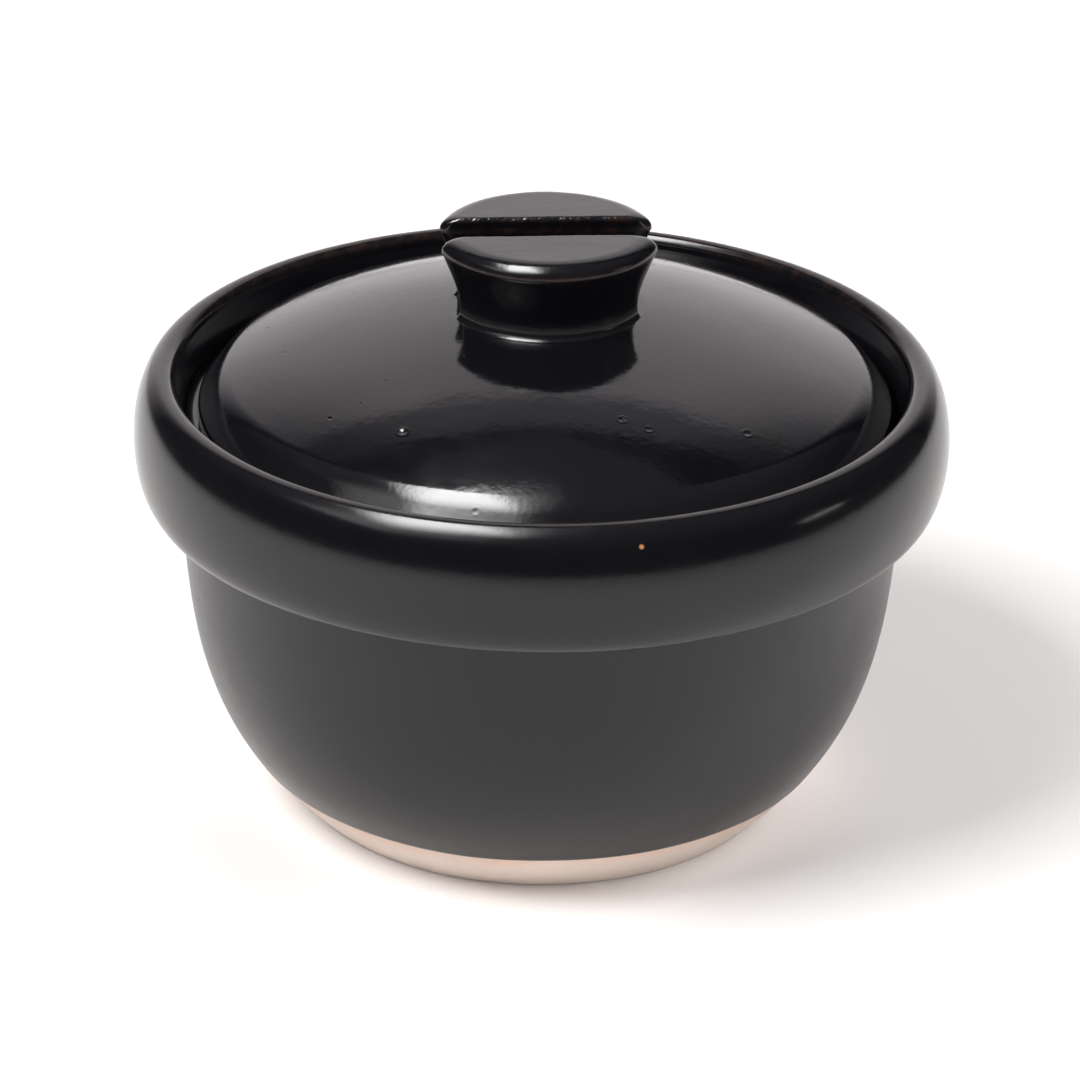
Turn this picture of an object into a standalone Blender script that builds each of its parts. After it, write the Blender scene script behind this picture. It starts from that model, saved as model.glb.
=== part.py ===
"""Lidded stoneware rice pot with a black glaze.

A round bowl under a thick overhanging rolled collar, a domed lid sunk into the collar, and a
split knob made of two half rounds with a straight slot between them.
Metres, +Z up, the foot on Z = 0, the pot's axis on Z and the slot of the knob along X.
"""

import math

import bmesh
import bpy

# Driving dimensions
POT_WIDTH = 0.200
KNOB_WIDTH = 0.054
SLOT_WIDTH = 0.011
WALL_THICKNESS = 0.007
VENT_WIDTH = 0.008
CLEARANCE = 0.0003

# Everything below is worked out from the collar's radius and the driving dimensions
COLLAR_RADIUS = POT_WIDTH / 2

# Outside of the bowl
BASE_RADIUS = 0.618 * COLLAR_RADIUS
BASE_ROUNDING = 0.012 * COLLAR_RADIUS
FOOT_RECESS_RADIUS = 0.80 * BASE_RADIUS
FOOT_RECESS_DEPTH = 0.012 * COLLAR_RADIUS
CREASE_HEIGHT = 0.809 * COLLAR_RADIUS
WALL_TOP_RADIUS = 0.8955 * COLLAR_RADIUS
BOWL_LOW_HANDLE = (0.267 * COLLAR_RADIUS, 0.248 * COLLAR_RADIUS)
BOWL_HIGH_HANDLE = (0.026 * COLLAR_RADIUS, 0.283 * COLLAR_RADIUS)

# Rolled collar
COLLAR_EDGE_RADIUS = 0.9535 * COLLAR_RADIUS
COLLAR_EDGE_ROUNDING = 0.010 * COLLAR_RADIUS
COLLAR_WIDEST_HEIGHT = 0.942 * COLLAR_RADIUS
RIM_HEIGHT = 1.117 * COLLAR_RADIUS
RIM_CREST_RADIUS = 0.925 * COLLAR_RADIUS
MOUTH_RADIUS = 0.8985 * COLLAR_RADIUS
RIM_INNER_DROP = 0.027 * COLLAR_RADIUS

# Ledge for the lid, and the inside of the bowl
LEDGE_HEIGHT = 0.985 * COLLAR_RADIUS
LEDGE_OUTER_RADIUS = 0.876 * COLLAR_RADIUS
LEDGE_FILLET = 0.030 * COLLAR_RADIUS
LEDGE_INNER_RADIUS = 0.755 * COLLAR_RADIUS
LEDGE_LIP_HEIGHT = 0.065 * COLLAR_RADIUS
LEDGE_ROUNDING = 0.015 * COLLAR_RADIUS
INSIDE_TOP_RADIUS = WALL_TOP_RADIUS - WALL_THICKNESS
INSIDE_TOP_HEIGHT = CREASE_HEIGHT - WALL_THICKNESS
FLOOR_THICKNESS = 1.15 * WALL_THICKNESS
FLOOR_RADIUS = 0.40 * COLLAR_RADIUS

# Lid
LID_RADIUS = 0.85 * COLLAR_RADIUS
DOME_RADIUS = 1.826 * COLLAR_RADIUS
DOME_APEX_HEIGHT = 1.283 * COLLAR_RADIUS
DOME_CENTRE_HEIGHT = DOME_APEX_HEIGHT - DOME_RADIUS
LID_EDGE_ROUNDING = 0.03 * COLLAR_RADIUS
SHOULDER_START_RADIUS = 0.77 * COLLAR_RADIUS
SHOULDER_ROUNDING = 0.11 * COLLAR_RADIUS
SHOULDER_SLOPE = 50
LID_SEAT_HEIGHT = LEDGE_HEIGHT + CLEARANCE
SKIRT_RADIUS = LEDGE_INNER_RADIUS - 0.010 * COLLAR_RADIUS
SKIRT_DEPTH = 0.038 * COLLAR_RADIUS
SKIRT_THICKNESS = 0.045 * COLLAR_RADIUS
SKIRT_ROUNDING = 0.012 * COLLAR_RADIUS
VENT_RADIUS = VENT_WIDTH / 2
VENT_CHAMFER = 0.10 * VENT_WIDTH

# Split knob
KNOB_RADIUS = KNOB_WIDTH / 2
KNOB_BASE_RADIUS = 0.845 * KNOB_RADIUS
KNOB_TOP_HEIGHT = 1.471 * COLLAR_RADIUS
KNOB_EDGE_WIDTH = 0.20 * KNOB_RADIUS
KNOB_EDGE_DROP = 0.135 * KNOB_RADIUS
KNOB_CORNER_RADIUS = 0.075 * KNOB_RADIUS
SLOT_EDGE_ROUNDING = 0.11 * SLOT_WIDTH
PAD_RADIUS = 1.045 * KNOB_BASE_RADIUS
PAD_HEIGHT = DOME_CENTRE_HEIGHT + math.sqrt(DOME_RADIUS ** 2 - PAD_RADIUS ** 2)
KNOB_BASE_HEIGHT = PAD_HEIGHT + CLEARANCE

# Smoothness of the round stretches
TURN_STEPS = 60
CURVE_STEPS = 9
ARC_STEPS = 5
SMALL_ARC_STEPS = 2
KNOB_ARC_STEPS = 16
KNOB_TAPER_STEPS = 5
WELD_DISTANCE = 0.000001
SHARP_ANGLE = math.radians(40)

BODY_GLAZE = (0.016, 0.016, 0.018, 1.0)
GLOSS_GLAZE = (0.008, 0.008, 0.009, 1.0)
BODY_ROUGHNESS = 0.32
GLOSS_ROUGHNESS = 0.16


def clear_scene():
    """Remove whatever is in the scene before the pot is built."""
    for existing in list(bpy.data.objects):
        bpy.data.objects.remove(existing, do_unlink=True)


def glaze_material(name, colour, roughness):
    """A Principled material for one glazed piece."""
    material = bpy.data.materials.new(name)
    material.use_nodes = True
    shader = material.node_tree.nodes["Principled BSDF"]
    shader.inputs["Base Color"].default_value = colour
    shader.inputs["Roughness"].default_value = roughness
    shader.inputs["Metallic"].default_value = 0.0
    material.diffuse_color = colour
    return material


def arc(centre, reach, start_degrees, end_degrees, steps):
    """Points of an elliptical arc in the (radius, height) plane."""
    points = []
    for step in range(steps + 1):
        turn = start_degrees + (end_degrees - start_degrees) * step / steps
        angle = math.radians(turn)
        points.append((centre[0] + reach[0] * math.cos(angle), centre[1] + reach[1] * math.sin(angle)))
    return points


def curve(start, start_handle, end_handle, end, steps):
    """Points of a cubic curve, given its two ends and the two handles that pull on it."""
    points = []
    for step in range(steps + 1):
        t = step / steps
        weights = ((1 - t) ** 3, 3 * t * (1 - t) ** 2, 3 * t * t * (1 - t), t ** 3)
        corners = (start, start_handle, end_handle, end)
        radius = sum(weight * corner[0] for weight, corner in zip(weights, corners))
        height = sum(weight * corner[1] for weight, corner in zip(weights, corners))
        points.append((radius, height))
    return points


def finish_mesh(name, mesh_edit, material):
    """Turn an edited mesh into a named, smooth-shaded object."""
    bmesh.ops.remove_doubles(mesh_edit, verts=mesh_edit.verts, dist=WELD_DISTANCE)
    bmesh.ops.recalc_face_normals(mesh_edit, faces=mesh_edit.faces)
    for face in mesh_edit.faces:
        face.smooth = True
    mesh = bpy.data.meshes.new(name)
    mesh_edit.to_mesh(mesh)
    mesh_edit.free()
    mesh.set_sharp_from_angle(angle=SHARP_ANGLE)
    mesh.materials.append(material)
    piece = bpy.data.objects.new(name, mesh)
    bpy.context.scene.collection.objects.link(piece)
    return piece


def turned_piece(name, outline, closed, material):
    """Spin an outline of (radius, height) points once round the pot's axis."""
    mesh_edit = bmesh.new()
    verts = [mesh_edit.verts.new((radius, 0.0, height)) for radius, height in outline]
    pairs = list(zip(verts, verts[1:]))
    if closed:
        pairs.append((verts[-1], verts[0]))
    edges = [mesh_edit.edges.new(pair) for pair in pairs]
    bmesh.ops.spin(
        mesh_edit,
        geom=verts + edges,
        cent=(0.0, 0.0, 0.0),
        axis=(0.0, 0.0, 1.0),
        dvec=(0.0, 0.0, 0.0),
        angle=2 * math.pi,
        steps=TURN_STEPS,
        use_merge=True,
        use_duplicate=False,
    )
    return finish_mesh(name, mesh_edit, material)


def foot_and_bowl_outline():
    """The underside and the outer wall, from the axis out and up to the crease below the collar."""
    recess = [
        (0.0, FOOT_RECESS_DEPTH),
        (FOOT_RECESS_RADIUS - FOOT_RECESS_DEPTH, FOOT_RECESS_DEPTH),
        (FOOT_RECESS_RADIUS, 0.0),
    ]
    wall_start = (BASE_RADIUS, BASE_ROUNDING / 2)
    wall_end = (WALL_TOP_RADIUS, CREASE_HEIGHT)
    wall = curve(
        wall_start,
        (wall_start[0] + BOWL_LOW_HANDLE[0], wall_start[1] + BOWL_LOW_HANDLE[1]),
        (wall_end[0] - BOWL_HIGH_HANDLE[0], wall_end[1] - BOWL_HIGH_HANDLE[1]),
        wall_end,
        CURVE_STEPS + 3,
    )
    foot_edge = [(BASE_RADIUS - BASE_ROUNDING, 0.0), (BASE_RADIUS - BASE_ROUNDING / 3, BASE_ROUNDING / 8)]
    return recess + foot_edge + wall


def collar_outline():
    """The rolled collar, from its lower edge over the crest to the mouth."""
    lower_edge = arc(
        (COLLAR_EDGE_RADIUS - COLLAR_EDGE_ROUNDING, CREASE_HEIGHT + COLLAR_EDGE_ROUNDING),
        (COLLAR_EDGE_ROUNDING, COLLAR_EDGE_ROUNDING),
        -90,
        -10,
        SMALL_ARC_STEPS,
    )
    flare = arc(
        (COLLAR_EDGE_RADIUS, COLLAR_WIDEST_HEIGHT),
        (COLLAR_RADIUS - COLLAR_EDGE_RADIUS, COLLAR_WIDEST_HEIGHT - CREASE_HEIGHT),
        -72,
        0,
        ARC_STEPS,
    )
    outer_roll = arc(
        (RIM_CREST_RADIUS, COLLAR_WIDEST_HEIGHT),
        (COLLAR_RADIUS - RIM_CREST_RADIUS, RIM_HEIGHT - COLLAR_WIDEST_HEIGHT),
        0,
        90,
        CURVE_STEPS,
    )
    inner_roll = arc(
        (RIM_CREST_RADIUS, RIM_HEIGHT - RIM_INNER_DROP),
        (RIM_CREST_RADIUS - MOUTH_RADIUS, RIM_INNER_DROP),
        90,
        180,
        ARC_STEPS,
    )
    return lower_edge + flare + outer_roll[1:] + inner_roll[1:]


def inside_outline():
    """The ledge that carries the lid and the inside of the bowl, down to the axis."""
    ledge_corner = arc(
        (LEDGE_OUTER_RADIUS - LEDGE_FILLET, LEDGE_HEIGHT + LEDGE_FILLET),
        (LEDGE_FILLET, LEDGE_FILLET),
        -15,
        -90,
        SMALL_ARC_STEPS + 1,
    )
    ledge_edge = arc(
        (LEDGE_INNER_RADIUS + LEDGE_ROUNDING / 2, LEDGE_HEIGHT - LEDGE_ROUNDING / 2),
        (LEDGE_ROUNDING / 2, LEDGE_ROUNDING / 2),
        90,
        180,
        SMALL_ARC_STEPS,
    )
    under_ledge = curve(
        (LEDGE_INNER_RADIUS, LEDGE_HEIGHT - LEDGE_LIP_HEIGHT),
        (LEDGE_INNER_RADIUS, LEDGE_HEIGHT - 1.8 * LEDGE_LIP_HEIGHT),
        (INSIDE_TOP_RADIUS, INSIDE_TOP_HEIGHT + LEDGE_LIP_HEIGHT),
        (INSIDE_TOP_RADIUS, INSIDE_TOP_HEIGHT),
        ARC_STEPS,
    )
    bowl = curve(
        (INSIDE_TOP_RADIUS, INSIDE_TOP_HEIGHT),
        (INSIDE_TOP_RADIUS - 0.01 * COLLAR_RADIUS, 0.52 * INSIDE_TOP_HEIGHT),
        (0.70 * COLLAR_RADIUS, FLOOR_THICKNESS),
        (FLOOR_RADIUS, FLOOR_THICKNESS),
        CURVE_STEPS,
    )
    return ledge_corner + ledge_edge + under_ledge + bowl[1:] + [(0.0, FLOOR_THICKNESS)]


def build_body(material):
    """The bowl, its foot and its collar are one fired piece."""
    outline = foot_and_bowl_outline() + collar_outline() + inside_outline()
    return turned_piece("pot_body", outline, False, material)


def sphere_height(radius, distance):
    """Height of the dome's sphere, grown or shrunk to the given radius, at a distance from the axis."""
    return DOME_CENTRE_HEIGHT + math.sqrt(radius ** 2 - distance ** 2)


def dome_points(radius, start, end, steps):
    """Evenly spaced points of the dome between two distances from the axis."""
    points = []
    for step in range(steps + 1):
        distance = start + (end - start) * step / steps
        points.append((distance, sphere_height(radius, distance)))
    return points


def lid_top_outline():
    """The vent's upper edge, the flat pad under the knob, the dome, its soft shoulder and the edge."""
    dome_slope = math.asin(SHOULDER_START_RADIUS / DOME_RADIUS)
    shoulder = arc(
        (
            SHOULDER_START_RADIUS - SHOULDER_ROUNDING * math.sin(dome_slope),
            sphere_height(DOME_RADIUS, SHOULDER_START_RADIUS) - SHOULDER_ROUNDING * math.cos(dome_slope),
        ),
        (SHOULDER_ROUNDING, SHOULDER_ROUNDING),
        90 - math.degrees(dome_slope),
        90 - SHOULDER_SLOPE,
        ARC_STEPS,
    )
    steepness = math.radians(SHOULDER_SLOPE)
    edge_radius = LID_RADIUS - LID_EDGE_ROUNDING * (1 - math.sin(steepness))
    fall = (edge_radius - shoulder[-1][0]) * math.tan(steepness)
    edge_centre_height = shoulder[-1][1] - fall - LID_EDGE_ROUNDING * math.cos(steepness)
    edge = arc(
        (LID_RADIUS - LID_EDGE_ROUNDING, edge_centre_height),
        (LID_EDGE_ROUNDING, LID_EDGE_ROUNDING),
        90 - SHOULDER_SLOPE,
        0,
        SMALL_ARC_STEPS + 1,
    )
    vent_edge = [(VENT_RADIUS, PAD_HEIGHT - VENT_CHAMFER), (VENT_RADIUS + VENT_CHAMFER, PAD_HEIGHT)]
    dome = dome_points(DOME_RADIUS, PAD_RADIUS, SHOULDER_START_RADIUS, CURVE_STEPS)
    return vent_edge + dome + shoulder[1:] + edge


def lid_underside_outline():
    """The seat, the locating skirt and the hollow underside, in to the vent."""
    skirt_foot = LID_SEAT_HEIGHT - SKIRT_DEPTH
    skirt_inner = SKIRT_RADIUS - SKIRT_THICKNESS
    inner_dome = DOME_RADIUS - WALL_THICKNESS
    hollow_edge = skirt_inner - WALL_THICKNESS / 2
    hollow_height = sphere_height(inner_dome, hollow_edge)
    vent_foot = sphere_height(inner_dome, VENT_RADIUS + VENT_CHAMFER)
    seat = [
        (LID_RADIUS, LID_SEAT_HEIGHT + SKIRT_ROUNDING),
        (LID_RADIUS - SKIRT_ROUNDING / 2, LID_SEAT_HEIGHT + SKIRT_ROUNDING / 4),
        (LID_RADIUS - SKIRT_ROUNDING, LID_SEAT_HEIGHT),
        (SKIRT_RADIUS + SKIRT_ROUNDING / 2, LID_SEAT_HEIGHT),
        (SKIRT_RADIUS, LID_SEAT_HEIGHT - SKIRT_ROUNDING / 2),
    ]
    skirt_edge = arc(
        (SKIRT_RADIUS - SKIRT_ROUNDING, skirt_foot + SKIRT_ROUNDING),
        (SKIRT_ROUNDING, SKIRT_ROUNDING),
        0,
        -90,
        SMALL_ARC_STEPS,
    )
    skirt_inside = [
        (skirt_inner + SKIRT_ROUNDING, skirt_foot),
        (skirt_inner, skirt_foot + SKIRT_ROUNDING),
        (skirt_inner, hollow_height - WALL_THICKNESS / 2),
        (skirt_inner - WALL_THICKNESS / 7, hollow_height - WALL_THICKNESS / 7),
    ]
    hollow = dome_points(inner_dome, hollow_edge, VENT_RADIUS + VENT_CHAMFER, CURVE_STEPS)
    return seat + skirt_edge + skirt_inside + hollow + [(VENT_RADIUS, vent_foot + VENT_CHAMFER)]


def build_lid(material):
    """The lid is one turned piece with a round vent through its middle."""
    outline = lid_top_outline() + lid_underside_outline()
    return turned_piece("lid_dome", outline, True, material)


def half_round(radius, flat_offset, corner_radius):
    """Outline of a half round: an outer arc, a flat side at flat_offset, and two rounded corners."""
    corner_y = flat_offset + corner_radius
    corner_x = math.sqrt((radius - corner_radius) ** 2 - corner_y ** 2)
    meeting = math.degrees(math.atan2(corner_y, corner_x))
    corner_reach = (corner_radius, corner_radius)
    right = arc((corner_x, corner_y), corner_reach, -90, meeting, SMALL_ARC_STEPS + 1)
    outer = arc((0.0, 0.0), (radius, radius), meeting, 180 - meeting, KNOB_ARC_STEPS)
    left = arc((-corner_x, corner_y), corner_reach, 180 - meeting, 270, SMALL_ARC_STEPS + 1)
    return right[:-1] + outer + left[1:]


def slot_edge_inset(height):
    """How far the rounded edge of the slot has drawn back at a height."""
    rise = max(0.0, height - (KNOB_TOP_HEIGHT - SLOT_EDGE_ROUNDING))
    return SLOT_EDGE_ROUNDING - math.sqrt(max(0.0, SLOT_EDGE_ROUNDING ** 2 - rise ** 2))


def knob_side():
    """The knob's outer side as (radius, height): a flared taper, then the rounded top edge."""
    lip_height = KNOB_TOP_HEIGHT - KNOB_EDGE_DROP
    side_height = lip_height - KNOB_BASE_HEIGHT
    taper = curve(
        (KNOB_BASE_RADIUS, KNOB_BASE_HEIGHT),
        (KNOB_BASE_RADIUS, KNOB_BASE_HEIGHT + 0.45 * side_height),
        (KNOB_BASE_RADIUS + 0.55 * (KNOB_RADIUS - KNOB_BASE_RADIUS), KNOB_BASE_HEIGHT + 0.70 * side_height),
        (KNOB_RADIUS, lip_height),
        KNOB_TAPER_STEPS,
    )
    edge = arc(
        (KNOB_RADIUS - KNOB_EDGE_WIDTH, lip_height),
        (KNOB_EDGE_WIDTH, KNOB_EDGE_DROP),
        0,
        90,
        ARC_STEPS,
    )
    return taper + edge[1:]


def build_knob_half(name, side, material):
    """One half of the split knob: side is +1 for the rear half and -1 for the front half."""
    mesh_edit = bmesh.new()
    rings = []
    for radius, height in knob_side():
        flat_offset = SLOT_WIDTH / 2 + slot_edge_inset(height)
        outline = half_round(radius, flat_offset, KNOB_CORNER_RADIUS)
        rings.append([mesh_edit.verts.new((side * x, side * y, height)) for x, y in outline])
    for lower, upper in zip(rings, rings[1:]):
        for index in range(len(lower)):
            following = (index + 1) % len(lower)
            mesh_edit.faces.new((lower[index], lower[following], upper[following], upper[index]))
    mesh_edit.faces.new(list(reversed(rings[0])))
    mesh_edit.faces.new(rings[-1])
    return finish_mesh(name, mesh_edit, material)


def main():
    clear_scene()
    build_body(glaze_material("body_glaze", BODY_GLAZE, BODY_ROUGHNESS))
    build_lid(glaze_material("lid_glaze", GLOSS_GLAZE, GLOSS_ROUGHNESS))
    build_knob_half("knob_front_half", -1, glaze_material("knob_front_glaze", GLOSS_GLAZE, GLOSS_ROUGHNESS))
    build_knob_half("knob_rear_half", 1, glaze_material("knob_rear_glaze", GLOSS_GLAZE, GLOSS_ROUGHNESS))


main()
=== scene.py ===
import math

import bmesh
import bpy
import numpy as np
from mathutils import Matrix, Vector, noise


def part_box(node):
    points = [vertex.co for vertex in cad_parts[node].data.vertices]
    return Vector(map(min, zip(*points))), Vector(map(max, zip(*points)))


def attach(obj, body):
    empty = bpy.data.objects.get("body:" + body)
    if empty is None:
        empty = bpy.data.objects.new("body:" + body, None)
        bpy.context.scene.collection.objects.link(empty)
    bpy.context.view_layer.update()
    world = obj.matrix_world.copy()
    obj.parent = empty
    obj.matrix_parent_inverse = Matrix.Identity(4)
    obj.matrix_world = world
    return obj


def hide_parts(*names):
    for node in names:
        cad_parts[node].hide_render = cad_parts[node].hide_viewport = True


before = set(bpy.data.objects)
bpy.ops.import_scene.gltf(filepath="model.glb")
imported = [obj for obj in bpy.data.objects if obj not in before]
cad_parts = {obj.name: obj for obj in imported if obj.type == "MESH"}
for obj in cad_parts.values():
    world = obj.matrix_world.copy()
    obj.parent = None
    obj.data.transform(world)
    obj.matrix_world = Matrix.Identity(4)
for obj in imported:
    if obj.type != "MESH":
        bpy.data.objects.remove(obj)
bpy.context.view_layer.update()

# The looks of a lidded stoneware rice pot: black glaze over pale clay, a rolled collar, a lid sunk
# into it and a split knob. Metres, +Z up, the slot of the knob along X.

BODY_LOW, BODY_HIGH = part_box("pot_body")
LID_LOW, LID_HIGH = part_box("lid_dome")
KNOB_LOW, KNOB_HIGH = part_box("knob_rear_half")

MM = 0.001
COLLAR_RADIUS = (BODY_HIGH.x - BODY_LOW.x) / 2
RIM_HEIGHT = BODY_HIGH.z
LID_RADIUS = (LID_HIGH.x - LID_LOW.x) / 2
PAD_HEIGHT = LID_HIGH.z
SKIRT_FOOT_HEIGHT = LID_LOW.z
KNOB_TOP_HEIGHT = KNOB_HIGH.z
KNOB_REACH = KNOB_HIGH.y
SLOT_HALF_WIDTH = KNOB_LOW.y

# Fineness of the turned meshes
TURNS = 256
SHARP_ANGLE = math.radians(38)

# How far the hand-set lid sits off the pot's axis, towards +X
LID_OFFSET = Vector((0.9 * MM, 0.0, 0.0))


# ---------------------------------------------------------------- outlines

def arc(centre, reach, start_degrees, end_degrees, steps):
    """Points of an elliptical arc in the (radius, height) plane."""
    angles = np.radians(np.linspace(start_degrees, end_degrees, steps + 1))
    return np.column_stack((centre[0] + reach[0] * np.cos(angles), centre[1] + reach[1] * np.sin(angles)))


def curve(start, start_handle, end_handle, end, steps):
    """Points of a cubic curve, given its two ends and the two handles that pull on it."""
    t = np.linspace(0.0, 1.0, steps + 1)[:, None]
    corners = np.array((start, start_handle, end_handle, end))
    weights = np.hstack(((1 - t) ** 3, 3 * t * (1 - t) ** 2, 3 * t * t * (1 - t), t ** 3))
    return weights @ corners


def line(start, end, steps):
    """Evenly spaced points of a straight stretch, ends included."""
    t = np.linspace(0.0, 1.0, steps + 1)[:, None]
    return np.array(start) * (1 - t) + np.array(end) * t


def joined(*stretches):
    """One outline from several stretches, leaving out points that repeat."""
    points = np.vstack(stretches)
    apart = np.linalg.norm(np.diff(points, axis=0), axis=1) > 0.01 * MM
    return points[np.concatenate(([True], apart))]


# ---------------------------------------------------------------- mesh helpers

def new_object(name, mesh):
    """Link a mesh to the scene under a name."""
    piece = bpy.data.objects.new(name, mesh)
    bpy.context.scene.collection.objects.link(piece)
    return piece


def grid_faces(rows, columns, wrap_rows):
    """Quads of a grid whose columns go all the way round."""
    last = rows if wrap_rows else rows - 1
    row = np.arange(last)[:, None]
    column = np.arange(columns)[None, :]
    below = row * columns
    above = ((row + 1) % rows) * columns
    following = (column + 1) % columns
    return np.stack((below + column, below + following, above + following, above + column), -1).reshape(-1, 4)


def finish_mesh(piece, smooth_angle=SHARP_ANGLE):
    """Faces outwards, smooth shading, and an edge kept sharp only where the shape has one."""
    edit = bmesh.new()
    edit.from_mesh(piece.data)
    bmesh.ops.recalc_face_normals(edit, faces=edit.faces)
    for face in edit.faces:
        face.smooth = True
    edit.to_mesh(piece.data)
    edit.free()
    piece.data.set_sharp_from_angle(angle=smooth_angle)
    return piece


def store_value(mesh, name, values):
    """A named value at each vertex, for the materials to read."""
    layer = mesh.attributes.new(name, "FLOAT", "POINT")
    layer.data.foreach_set("value", np.asarray(values, np.float32))


def turned(name, radii, heights, closed, row_slots, row_values):
    """A turned piece from rows of radii and heights, one column for each step round the axis.

    row_slots is the material index of the band above each row; row_values holds named values of
    each row. An open outline starts and ends on the axis.
    """
    rows, columns = radii.shape
    angles = np.arange(columns) * (2 * math.pi / columns)
    points = np.stack((radii * np.cos(angles), radii * np.sin(angles), heights), -1).reshape(-1, 3)
    faces = grid_faces(rows, columns, closed).tolist()
    slots = np.repeat(row_slots[: rows if closed else rows - 1], columns).tolist()
    vertex_values = {key: np.repeat(value, columns) for key, value in row_values.items()}
    if not closed:
        centres = np.array(((0, 0, heights[0].mean()), (0, 0, heights[-1].mean())))
        points = np.vstack((points, centres))
        count = rows * columns
        for column in range(columns):
            following = (column + 1) % columns
            faces.append((count, following, column))
            faces.append((count + 1, count - columns + column, count - columns + following))
            slots.extend((int(row_slots[0]), int(row_slots[-1])))
        vertex_values = {
            key: np.concatenate((value, (value[0], value[-1]))) for key, value in vertex_values.items()
        }
    mesh = bpy.data.meshes.new(name)
    mesh.from_pydata(points.tolist(), [], faces)
    mesh.polygons.foreach_set("material_index", slots)
    for key, value in vertex_values.items():
        store_value(mesh, key, value)
    return new_object(name, mesh)


def mesh_points(mesh):
    """Positions and normals of a mesh's vertices as arrays."""
    points = np.zeros(len(mesh.vertices) * 3)
    normals = np.zeros(len(mesh.vertices) * 3)
    mesh.vertices.foreach_get("co", points)
    mesh.vertex_normals.foreach_get("vector", normals)
    return points.reshape(-1, 3), normals.reshape(-1, 3)


def noise_values(points, feature_size, seed):
    """Smooth noise, one value a point, with bumps about feature_size across."""
    shift = Vector((seed * 3.7, seed * 1.9, seed * 5.3))
    return np.array([noise.noise(Vector(point) / feature_size + shift) for point in points])


def add_relief(piece, bumps, mask=None):
    """Push the surface in and out along its normals; bumps lists (height, feature size, seed)."""
    points, normals = mesh_points(piece.data)
    push = np.zeros(len(points))
    for height, feature_size, seed in bumps:
        push += height * noise_values(points, feature_size, seed)
    if mask is not None:
        push *= mask(points)
    piece.data.vertices.foreach_set("co", (points + normals * push[:, None]).ravel())
    piece.data.update()


# ---------------------------------------------------------------- bowl, foot and collar

CREASE_HEIGHT = 0.809 * COLLAR_RADIUS
WALL_TOP_RADIUS = 0.8955 * COLLAR_RADIUS
BASE_RADIUS = 0.618 * COLLAR_RADIUS
BASE_ROUNDING = 0.012 * COLLAR_RADIUS
GLAZE_LINE_HEIGHT = 0.1365 * COLLAR_RADIUS
GLAZE_THICKNESS = 0.35 * MM
LEDGE_HEIGHT = 0.985 * COLLAR_RADIUS
LEDGE_INNER_RADIUS = 0.755 * COLLAR_RADIUS
WALL_THICKNESS = 0.07 * COLLAR_RADIUS
GLAZE_SLOT = 0
CLAY_SLOT = 1


def foot_outline():
    """The unglazed underside, from the axis to the foot's outer edge."""
    recess_radius = 0.8 * BASE_RADIUS
    recess_depth = 0.012 * COLLAR_RADIUS
    return joined(
        line((4 * MM, recess_depth), (recess_radius - 2 * recess_depth, recess_depth), 14),
        curve(
            (recess_radius - 2 * recess_depth, recess_depth),
            (recess_radius - recess_depth, recess_depth),
            (recess_radius - recess_depth / 2, 0.0),
            (recess_radius + recess_depth / 2, 0.0),
            6,
        ),
        line((recess_radius + recess_depth / 2, 0.0), (BASE_RADIUS - BASE_ROUNDING, 0.0), 5),
        curve(
            (BASE_RADIUS - BASE_ROUNDING, 0.0),
            (BASE_RADIUS - 0.4 * BASE_ROUNDING, 0.0),
            (BASE_RADIUS - 0.2 * BASE_ROUNDING, 0.2 * BASE_ROUNDING),
            (BASE_RADIUS, BASE_ROUNDING / 2),
            5,
        ),
    )


def wall_radius(height):
    """Radius of the outer wall at a height, read from its one long curve."""
    low = (BASE_RADIUS, BASE_ROUNDING / 2)
    high = (WALL_TOP_RADIUS, CREASE_HEIGHT)
    wall = curve(
        low,
        (low[0] + 0.267 * COLLAR_RADIUS, low[1] + 0.248 * COLLAR_RADIUS),
        (high[0] - 0.026 * COLLAR_RADIUS, high[1] - 0.283 * COLLAR_RADIUS),
        high,
        400,
    )
    return np.interp(height, wall[:, 1], wall[:, 0])


def glaze_line(angles):
    """Height of the glaze's lower edge round the pot: nearly level, with the drift of a hand dip."""
    drift = 0.22 * np.sin(2 * angles + 0.6) + 0.12 * np.sin(5 * angles + 2.0) + 0.08 * np.sin(11 * angles)
    return GLAZE_LINE_HEIGHT + drift * MM


def wall_rows(angles):
    """Rows of the outer wall: bare clay, the glaze's thick edge, then glaze up to the crease."""
    start = BASE_ROUNDING / 2
    edge = glaze_line(angles)
    radii, heights, slots, flash = [], [], [], []
    for share in np.linspace(0.0, 1.0, 16)[1:]:
        height = start + (edge - 0.25 * MM - start) * share
        radii.append(wall_radius(height) - GLAZE_THICKNESS * min(1.0, 6 * share))
        heights.append(height)
        slots.append(CLAY_SLOT)
        flash.append(share ** 3)
    slots[-1] = GLAZE_SLOT
    for rise, cover in ((-0.22, 0.45), (-0.05, 0.9), (0.25, 1.12), (0.7, 1.16), (1.4, 1.08), (2.4, 1.0)):
        height = edge + rise * MM
        radii.append(wall_radius(height) - GLAZE_THICKNESS * (1 - cover))
        heights.append(height)
        slots.append(GLAZE_SLOT)
        flash.append(0.0)
    top = CREASE_HEIGHT
    for share in np.linspace(0.0, 1.0, 61)[1:]:
        height = edge + 2.4 * MM + (top - edge - 2.4 * MM) * share
        radii.append(wall_radius(height))
        heights.append(height)
        slots.append(GLAZE_SLOT)
        flash.append(0.0)
    return np.array(radii), np.array(heights), np.array(slots), np.array(flash)


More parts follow.
